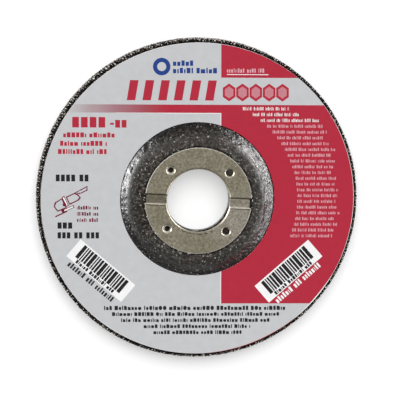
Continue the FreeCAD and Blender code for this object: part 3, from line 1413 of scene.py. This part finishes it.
def hub_skin():
    """Resin-rich skin of the hub: dark, leathery, with small pale flecks, and painted shade round
    the flange and towards its foot.
    """
    surface = Surface("hub_skin")
    to_upper_right = surface.vector_math("DOT_PRODUCT", [surface.where(), (0.77, 0.64, 0)], "Value")
    # Painted shade: the gap round the flange goes nearly black, darkest at the upper right
    gap = ring_gap_shade(surface, to_upper_right)
    tones = surface.mixed(gap, (0.001, 0.001, 0.001, 1), resin_tones(surface))
    flecks = surface.spread(surface.cell_tone(0.42, 0.07), 0, 1, 0.975, 0.99)
    # The hub's top is rougher than its shoulder, most at the lower left, and its left is matt
    inner = surface.along(surface.from_axis(), 22.6, 24.2, 1.0, 0.0)
    rougher = surface.math("MULTIPLY", inner, surface.along(to_upper_right, -4, 12, 0.6, 0.24))
    left = surface.along(surface.where_x(), -19, -12, 1.0, 0.0)
    matt = surface.math("MULTIPLY", left, surface.along(surface.from_axis(), 23.7, 25.6, 1.0, 0.0))
    rougher = surface.math("MAXIMUM", rougher, surface.spread(matt, 0.0, 0.6, 0.0, 1.0))
    uneven = surface.spread(surface.noise(1.4, 3, 0.6, 0.08), 0.2, 0.36)
    waves = surface.bump(surface.noise(1.8, 1.5, 0.5, 0.09), 0.28, 1.0)
    return surface.finish({
        "Base Color": surface.mixed(flecks, tones, linear(164, 160, 154)),
        "IOR": 1.6,
        "Specular IOR Level": surface.spread(matt, 0.5, 0.3, 0.0, 1.0),
        "Roughness": surface.math("ADD", uneven, rougher),
        "Normal": surface.bump(surface.noise(0.6, 1, 0.5, 0.13), 0.04, 1.0, Normal=waves),
    })


def loose_grain():
    """Stones that stand out of the resin, each with its own tone; the palest are partly the grains'
    own colour and partly painted glints.
    """
    surface = Surface("grain_stones")
    tones = surface.ramp(
        surface.attribute("tone"),
        (0.0, linear(7, 7, 7)), (0.5, linear(16, 15, 14)), (0.55, linear(76, 69, 63)),
        (0.61, linear(124, 115, 107)), (0.66, linear(218, 212, 205)), (1.0, linear(255, 254, 251)),
    )
    dust = surface.ramp(surface.noise(0.25, 3, 0.6, 0.11),
                        (0.35, (0.8, 0.78, 0.76)), (0.6, (1.0, 0.99, 0.98)))
    return surface.finish({
        "Base Color": surface.times(tones, dust),
        "Specular IOR Level": 0.08,
        "Roughness": surface.spread(surface.noise(0.4, 2, 0.5, 0.12), 0.4, 0.8),
        "Normal": surface.bump(surface.noise(0.14, 2, 0.6, 0.13), 0.03, 0.6),
    })


def plated_sheet():
    """Dull plated steel of the ring: mottled and stained, with a painted pool of light at its lower
    right, painted highlights and painted shade.
    """
    surface = Surface("plated_sheet")
    dull = surface.ramp(surface.noise(0.8, 5, 0.7, 0.21), (0.36, linear(143, 136, 117)),
                        (0.5, linear(170, 162, 141)), (0.64, linear(196, 189, 170)))
    stain = surface.ramp(surface.noise(5.0, 3, 0.5, 0.22),
                         (0.35, (0.9, 0.89, 0.86)), (0.7, (1.05, 1.05, 1.06)))
    # Painted pool of light: the sheet is paler round a place at its lower right
    painted_light_place = (13 * MM, -8 * MM, 11 * MM)
    far = surface.vector_math("DISTANCE", [surface.where(), painted_light_place], "Value")
    light_pool = surface.ramp(surface.along(far, 3, 12, 1, 0), (0.0, (1, 1, 1)), (1.0, (1.2, 1.2, 1.34)))
    shaded = surface.ramp(surface.attribute("shade"), (0.0, (1, 1, 1)), (1.0, (0.46, 0.44, 0.42)))
    for layer in (stain, light_pool, shaded):
        dull = surface.times(dull, layer)
    # Painted highlights: patches of pale colour that is less metallic
    patchy = surface.spread(surface.noise(0.7, 3, 0.6, 0.25), 0.35, 1.0)
    painted_highlight = surface.math("MULTIPLY", surface.attribute("painted_highlight"), patchy)
    bare = surface.mixed(painted_highlight, dull, linear(246, 242, 230))
    # Painted shade: a ragged near-black colour that is not metallic
    ragged = surface.spread(surface.noise(0.6, 3, 0.6, 0.26), -0.3, 0.3)
    grime = surface.math("ADD", surface.attribute("grime"), ragged)
    grime = surface.spread(grime, 0, 1, 0.3, 0.55)
    metal = surface.spread(painted_highlight, 0.8, 0.2, 0, 1)
    unshaded = surface.spread(grime, 1, 0, 0, 1)
    return surface.finish({
        "Base Color": surface.mixed(grime, bare, linear(30, 27, 23)),
        "Metallic": surface.math("MULTIPLY", metal, unshaded),
        "Roughness": surface.spread(surface.noise(0.4, 3, 0.6, 0.23), 0.3, 0.46),
        "Normal": surface.bump(surface.noise(0.25, 3, 0.6, 0.24), 0.012, 0.5),
    })


def bore_shade_band():
    """Black, quite dull band of painted shade down the inside of the bore."""
    surface = Surface("bore_shade_band")
    return surface.finish({
        "Base Color": surface.ramp(surface.noise(0.5, 3, 0.6, 0.27), (0.35, linear(10, 9, 8)),
                                   (0.6, linear(26, 23, 20)), (0.75, linear(58, 52, 44))),
        "Specular IOR Level": 0.0,
        "Roughness": surface.spread(surface.noise(0.4, 2, 0.5, 0.28), 0.6, 0.9),
    })


def printed_paper(surface, colour, shift):
    """Slightly glossy printed paper over a faint relief of grain."""
    cloud = surface.ramp(surface.noise(3.0, 4, 0.6, shift),
                         (0.3, (0.965, 0.965, 0.97)), (0.7, (1.03, 1.03, 1.03)))
    return surface.finish({
        "Base Color": surface.times(colour, cloud),
        "Specular IOR Level": 0.25,
        "Roughness": surface.spread(surface.noise(0.8, 3, 0.6, shift + 0.01), 0.42, 0.56),
        "Normal": surface.bump(surface.noise(0.9, 3, 0.55, shift + 0.02), 0.02, 0.35),
    })


def fading_ink():
    """Stripe that fades from the paper's grey at the left to full red."""
    surface = Surface("ink_fade")
    tones = surface.ramp(
        surface.along(surface.where_x(), -45.5, 3.5),
        (0.0, linear(196, 195, 197)), (0.16, linear(178, 158, 161)), (0.36, linear(168, 118, 127)),
        (0.55, linear(167, 79, 89)), (0.66, linear(177, 53, 69)), (0.73, linear(181, 42, 62)),
        (1.0, linear(181, 42, 62)),
    )
    return printed_paper(surface, tones, 0.4)


def ink(name, tones, shift):
    """Plain printed colour on the paper."""
    return printed_paper(Surface(name), linear(*tones), shift)


def label_materials():
    """The label's slots. The first is the paper's own colour."""
    return {
        "paper_grey": ink("paper_grey", (201, 202, 204), 0.31),
        "ink_red": ink("ink_red", (181, 42, 62), 0.32),
        "ink_white": ink("ink_white", (250, 249, 249), 0.33),
        "ink_soft_white": ink("ink_soft_white", (224, 170, 179), 0.38),
        "ink_black": ink("ink_black", (34, 33, 34), 0.34),
        "ink_blue": ink("ink_blue", (34, 66, 138), 0.35),
        "ink_pink": ink("ink_pink", (203, 132, 142), 0.36),
        "ink_fade": fading_ink(),
        "ink_dark_red": ink("ink_dark_red", (112, 18, 44), 0.39),
        "paper_edge": ink("paper_edge", (214, 213, 210), 0.37),
    }


# Stage

# The floor: how pale it is, and how pale and glowing where the camera or a reflection sees it
floor_tone = 0.8
seen_floor_tone = 0.62
seen_floor_glow = 0.44
floor_half_width = 4000.0
world_glow = 0.14

# Low lamps at the sides: their width, and the strength, bearing and elevation of each
side_lamps = {
    "right": (20, ((0.7, -30, 10), (1.2, -6, 5), (1.9, 18, 3), (1.35, 38, 5))),
    "left": (14, ((0.8, 149, 14), (2.3, 167, 11), (1.4, 186, 11))),
}


def make_floor():
    """Pale floor, white to the camera where nothing shades it."""
    half = floor_half_width * MM
    corners = [(x, y, 0) for x, y in rectangle(-half, half, -half, half)]
    mesh = bpy.data.meshes.new("floor")
    mesh.from_pydata(corners, [], [(0, 1, 2, 3)])
    floor = bpy.data.objects.new("floor", mesh)
    bpy.context.scene.collection.objects.link(floor)
    floor.data.materials.append(floor_material())


def floor_material():
    """Matte white. What the camera and reflections see glows a little, and keeps the shadow."""
    surface = Surface("floor_white")
    surface.tree.nodes.clear()
    rays = surface.node("ShaderNodeLightPath").outputs
    seen = surface.math("MAXIMUM", rays["Is Camera Ray"], rays["Is Glossy Ray"])
    seen = surface.math("MAXIMUM", seen, rays["Is Transmission Ray"])
    plain, shaded = (
        surface.node("ShaderNodeBsdfDiffuse", {"Color": (tone, tone, tone, 1)}).outputs[0]
        for tone in (floor_tone, seen_floor_tone)
    )
    glow = surface.node("ShaderNodeEmission", {"Color": (1, 1, 1, 1), "Strength": seen_floor_glow})
    white = surface.node("ShaderNodeAddShader", {0: shaded, 1: glow.outputs[0]}).outputs[0]
    mix = surface.node("ShaderNodeMixShader", {0: seen, 1: plain, 2: white}).outputs[0]
    surface.node("ShaderNodeOutputMaterial", {"Surface": mix})
    return surface.material


def soft_lamp(name, strength, width_degrees, bearing_degrees, elevation_degrees,
              lights=True, glints=True):
    """Large soft lamp far away, its bearing counted from +X towards +Y."""
    data = bpy.data.lights.new(name, "SUN")
    data.energy = strength
    data.angle = math.radians(width_degrees)
    lamp = bpy.data.objects.new(name, data)
    lamp.visible_diffuse = lights
    lamp.visible_glossy = glints
    bearing = math.radians(bearing_degrees)
    elevation = math.radians(elevation_degrees)
    towards = Vector((
        math.cos(bearing) * math.cos(elevation),
        math.sin(bearing) * math.cos(elevation),
        math.sin(elevation),
    ))
    lamp.rotation_mode = "QUATERNION"
    lamp.rotation_quaternion = towards.to_track_quat("Z", "Y")
    lamp.location = towards
    bpy.context.scene.collection.objects.link(lamp)


def make_lights():
    """A key that only lights, one overhead, and low ones at the sides that only glint."""
    soft_lamp("key", 2.62, width_degrees=52, bearing_degrees=91, elevation_degrees=59,
              glints=False)
    soft_lamp("overhead", 0.4, width_degrees=80, bearing_degrees=100, elevation_degrees=80)
    for side, (width, lamps) in side_lamps.items():
        for index, (strength, bearing, elevation) in enumerate(lamps):
            soft_lamp(f"{side}_{index}", strength, width, bearing, elevation, lights=False)
    world = bpy.data.worlds.new("studio")
    bpy.context.scene.world = world
    world.use_nodes = True
    background = world.node_tree.nodes["Background"]
    background.inputs["Color"].default_value = (1, 1, 1, 1)
    background.inputs["Strength"].default_value = world_glow


# Camera: its tilt from the bore's axis, the side it stands on, and the photograph's frame
camera_tilt = math.radians(10)
camera_bearing = math.radians(121.5)
camera_distance = 1200.0
frame_width = 142.4
sensor_width = 36.0
frame_pixels = 400
outline_centre_px = (196.5, 197.7)


def make_camera():
    """Long lens on the photograph's side of the bore's axis, +Y up in the picture."""
    back = Vector((
        math.cos(camera_bearing) * math.sin(camera_tilt),
        math.sin(camera_bearing) * math.sin(camera_tilt),
        math.cos(camera_tilt),
    ))
    right = Vector((0, 1, 0)).cross(back).normalized()
    up = back.cross(right)
    pixel = frame_width / frame_pixels
    off_x = (outline_centre_px[0] - frame_pixels / 2) * pixel
    off_y = (frame_pixels / 2 - outline_centre_px[1]) * pixel
    aim = Vector((0, 0, wheel_thickness * 0.5)) - right * off_x - up * off_y
    data = bpy.data.cameras.new("camera")
    data.sensor_width = sensor_width
    data.lens = sensor_width * camera_distance / frame_width
    data.clip_start = 0.05
    data.clip_end = 20
    camera = bpy.data.objects.new("camera", data)
    axes = Matrix((right, up, back)).transposed().to_4x4()
    camera.matrix_world = Matrix.Translation((aim + back * camera_distance) * MM) @ axes
    bpy.context.scene.collection.objects.link(camera)
    bpy.context.scene.camera = camera


def main():
    bpy.context.scene.view_settings.view_transform = "Standard"
    make_camera()
    make_lights()
    make_floor()
    vertices, faces, slots = wheel_mesh()
    wheel = make_piece("wheel_body", vertices, faces, [bonded_grain(), hub_skin()], slots)
    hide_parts("abrasive_wheel")
    stone = loose_grain()
    rim_stones(stone)
    underside_stones(stone)
    hub_stones(stone)
    edge_crumbs(stone)
    label_piece(label_materials())
    # The ring's second material is a band of painted shade down the bore's wall
    ring_piece([plated_sheet(), bore_shade_band()])


main()
